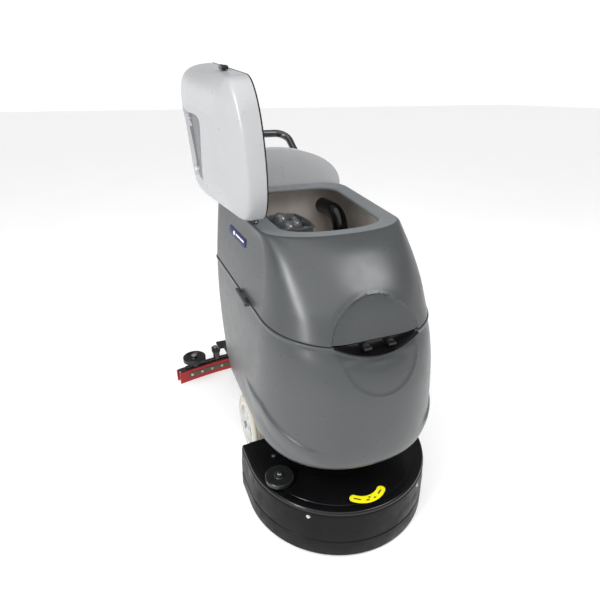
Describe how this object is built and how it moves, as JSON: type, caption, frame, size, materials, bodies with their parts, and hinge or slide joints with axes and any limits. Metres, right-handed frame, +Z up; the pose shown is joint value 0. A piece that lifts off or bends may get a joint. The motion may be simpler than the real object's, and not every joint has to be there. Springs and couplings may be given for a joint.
{
  "type": "floor scrubber",
  "caption": "Walk-behind floor scrubber with a disc brush deck, stacked tanks with an open lid, driven wheels, rear squeegee and a tube handle.",
  "frame": {"origin": "on the floor, under the middle of the whole machine", "axes": "+Z up, -Y towards the front (brush deck), +Y towards the operator, +X to the right as seen from the front"},
  "size_m": [0.7612, 1.1293, 1.22],
  "materials": {
    "tank_plastic": "satin, fine moulded texture",
    "light_plastic": "satin, smooth",
    "black_plastic": "gloss",
    "black_rubber": "satin",
    "roller_plastic": "satin",
    "frame_paint": "gloss black powder coat",
    "bare_steel": "satin",
    "battery_case": "satin",
    "display": "gloss",
    "tray_plastic": "satin",
    "float_plastic": "gloss",
    "brush_block": "satin",
    "bristle": "matte bristle",
    "hub_plastic": "satin",
    "tyre": "matte, non-marking",
    "caster_rubber": "matte",
    "red_blade": "satin",
    "band_metal": "satin"
  },
  "bodies": {
    "chassis": {"chassis_frame": "frame_paint", "solution_tank": "tank_plastic", "fill_bay": "black_plastic", "transaxle": "bare_steel", "traction_motor": "frame_paint", "battery_tray": "black_plastic", "batteries": "battery_case", "rear_column": "tank_plastic", "vacuum_motor": "bare_steel", "suction_hose": "black_rubber", "drain_hose": "black_rubber", "console_cowl": "light_plastic", "control_panel": "black_plastic", "battery_gauge": "display", "circuit_breakers": "black_plastic", "handle_bar": "frame_paint"},
    "recovery": {"recovery_tank": "tank_plastic", "vacuum_elbow": "black_plastic", "float_cage": "black_plastic", "debris_tray": "tray_plastic", "lid_hinge_pins": "bare_steel"},
    "float": {"float_ball": "float_plastic"},
    "tank_lid": {"lid": "light_plastic", "lid_gasket": "black_rubber"},
    "deck": {"deck_shell": "black_plastic", "deck_skirt": "black_rubber", "deck_bolts": "bare_steel", "deck_guides": "bare_steel", "brush_motor": "frame_paint"},
    "side_roller": {"deck_roller": "roller_plastic"},
    "brush": {"drive_hub": "bare_steel", "brush_block": "brush_block", "brush_bristles": "bristle"},
    "left_wheel": {"left_wheel_hub": "hub_plastic", "left_tyre": "tyre"},
    "right_wheel": {"right_wheel_hub": "hub_plastic", "right_tyre": "tyre"},
    "left_caster": {"left_caster_fork": "bare_steel"},
    "left_caster_roll": {"left_caster_wheel": "caster_rubber"},
    "right_caster": {"right_caster_fork": "bare_steel"},
    "right_caster_roll": {"right_caster_wheel": "caster_rubber"},
    "squeegee_lift_arm": {"squeegee_arm": "frame_paint"},
    "squeegee": {"squeegee_frame": "frame_paint", "front_blade": "red_blade", "rear_blade": "red_blade", "blade_bands": "band_metal", "squeegee_knobs": "black_plastic"},
    "left_end_roller": {"left_squeegee_roller": "roller_plastic"},
    "right_end_roller": {"right_squeegee_roller": "roller_plastic"},
    "lift_lever": {"squeegee_lever": "black_plastic"},
    "pedal": {"deck_pedal": "black_plastic"},
    "start_key": {"key": "bare_steel"},
    "button_brush": {"brush_button": "black_plastic"},
    "button_vacuum": {"vacuum_button": "black_plastic"},
    "button_solution": {"solution_button": "black_plastic"},
    "bail": {"drive_bail": "frame_paint"},
    "knob": {"speed_knob": "black_plastic"},
    "cap_left": {"left_fill_cap": "black_plastic"},
    "cap_right": {"right_fill_cap": "black_plastic"},
    "hose_cap": {"drain_cap": "black_plastic"}
  },
  "joints": [
    {"name": "tank_tilt", "type": "hinge", "parent": "chassis", "child": "recovery", "pos_m": [-0.24, -0.29, 0.64], "axis": [0, -0.9975, -0.0708], "range_deg": [0, 75]},
    {"name": "float_rise", "type": "slide", "parent": "recovery", "child": "float", "axis": [0, 0, 1], "range_m": [0, 0.0145]},
    {"name": "lid_hinge", "type": "hinge", "parent": "recovery", "child": "tank_lid", "pos_m": [-0.19, -0.29, 0.841], "axis": [0, 0.9975, 0.0708], "range_deg": [0, 95]},
    {"name": "deck_lift", "type": "slide", "parent": "chassis", "child": "deck", "axis": [0, 0, 1], "range_m": [0, 0.035]},
    {"name": "side_roller_spin", "type": "hinge", "parent": "deck", "child": "side_roller", "pos_m": [-0.21, -0.376, 0.17], "axis": [0, 0, 1], "continuous": true},
    {"name": "brush_spin", "type": "hinge", "parent": "deck", "child": "brush", "pos_m": [0, -0.29, 0.05], "axis": [0, 0, 1], "continuous": true},
    {"name": "left_wheel_spin", "type": "hinge", "parent": "chassis", "child": "left_wheel", "pos_m": [-0.19, -0.038, 0.1], "axis": [1, 0, 0], "continuous": true},
    {"name": "right_wheel_spin", "type": "hinge", "parent": "chassis", "child": "right_wheel", "pos_m": [0.19, -0.038, 0.1], "axis": [1, 0, 0], "continuous": true},
    {"name": "left_caster_swivel", "type": "hinge", "parent": "chassis", "child": "left_caster", "pos_m": [-0.13, 0.18, 0.12], "axis": [0, 0, 1], "continuous": true},
    {"name": "left_caster_spin", "type": "hinge", "parent": "left_caster", "child": "left_caster_roll", "pos_m": [-0.13, 0.204, 0.038], "axis": [1, 0, 0], "continuous": true},
    {"name": "right_caster_swivel", "type": "hinge", "parent": "chassis", "child": "right_caster", "pos_m": [0.13, 0.18, 0.12], "axis": [0, 0, 1], "continuous": true},
    {"name": "right_caster_spin", "type": "hinge", "parent": "right_caster", "child": "right_caster_roll", "pos_m": [0.13, 0.204, 0.038], "axis": [1, 0, 0], "continuous": true},
    {"name": "squeegee_lift", "type": "hinge", "parent": "chassis", "child": "squeegee_lift_arm", "pos_m": [0, 0.3, 0.13], "axis": [1, 0, 0], "range_deg": [0, 15], "deforming": ["suction_hose"]},
    {"name": "squeegee_swing", "type": "hinge", "parent": "squeegee_lift_arm", "child": "squeegee", "pos_m": [0, 0.432, 0.098], "axis": [0, 0, 1], "range_deg": [-8, 8]},
    {"name": "left_end_roller_spin", "type": "hinge", "parent": "squeegee", "child": "left_end_roller", "pos_m": [-0.3, 0.47, 0.094], "axis": [0, 0, 1], "continuous": true},
    {"name": "right_end_roller_spin", "type": "hinge", "parent": "squeegee", "child": "right_end_roller", "pos_m": [0.3, 0.47, 0.094], "axis": [0, 0, 1], "continuous": true},
    {"name": "lift_lever_turn", "type": "hinge", "parent": "chassis", "child": "lift_lever", "pos_m": [0.03, 0.3, 0.7], "axis": [0, -1, 0], "range_deg": [0, 75]},
    {"name": "pedal_press", "type": "hinge", "parent": "chassis", "child": "pedal", "pos_m": [-0.16, 0.17, 0.185], "axis": [-1, 0, 0], "range_deg": [0, 22]},
    {"name": "key_turn", "type": "hinge", "parent": "chassis", "child": "start_key", "pos_m": [0.036, 0.35606, 0.92589], "axis": [0, 0.5075, 0.8616], "range_deg": [-90, 0]},
    {"name": "brush_button_press", "type": "slide", "parent": "chassis", "child": "button_brush", "axis": [0, -0.5075, -0.8616], "range_m": [0, 0.003], "stiffness_N_per_m": 400},
    {"name": "vacuum_button_press", "type": "slide", "parent": "chassis", "child": "button_vacuum", "axis": [0, -0.5075, -0.8616], "range_m": [0, 0.003], "stiffness_N_per_m": 400},
    {"name": "solution_button_press", "type": "slide", "parent": "chassis", "child": "button_solution", "axis": [0, -0.5075, -0.8616], "range_m": [0, 0.003], "stiffness_N_per_m": 400},
    {"name": "bail_pull", "type": "hinge", "parent": "chassis", "child": "bail", "pos_m": [0, 0.42256, 0.896], "axis": [1, 0, 0], "range_deg": [0, 10], "stiffness_Nm_per_rad": 3, "springref_deg": -20.05},
    {"name": "speed_knob_turn", "type": "hinge", "parent": "chassis", "child": "knob", "pos_m": [0.076, 0.344, 0.933], "axis": [0, 0.5075, 0.8616], "range_deg": [0, 270]},
    {"name": "left_cap_turn", "type": "hinge", "parent": "chassis", "child": "cap_left", "pos_m": [-0.03, -0.49, 0.615], "axis": [0, -1, 0], "range_deg": [0, 90]},
    {"name": "right_cap_turn", "type": "hinge", "parent": "chassis", "child": "cap_right", "pos_m": [0.035, -0.49, 0.615], "axis": [0, -1, 0], "range_deg": [0, 90]},
    {"name": "drain_cap_turn", "type": "hinge", "parent": "chassis", "child": "hose_cap", "pos_m": [-0.154, 0.232, 0.32], "axis": [0, 0, 1], "range_deg": [0, 180]}
  ],
  "couplings": [
    {"joint": "lift_lever_turn", "follows": "squeegee_lift", "ratio": 4.95},
    {"joint": "pedal_press", "follows": "deck_lift", "rad_per_m": 10.9}
  ]
}
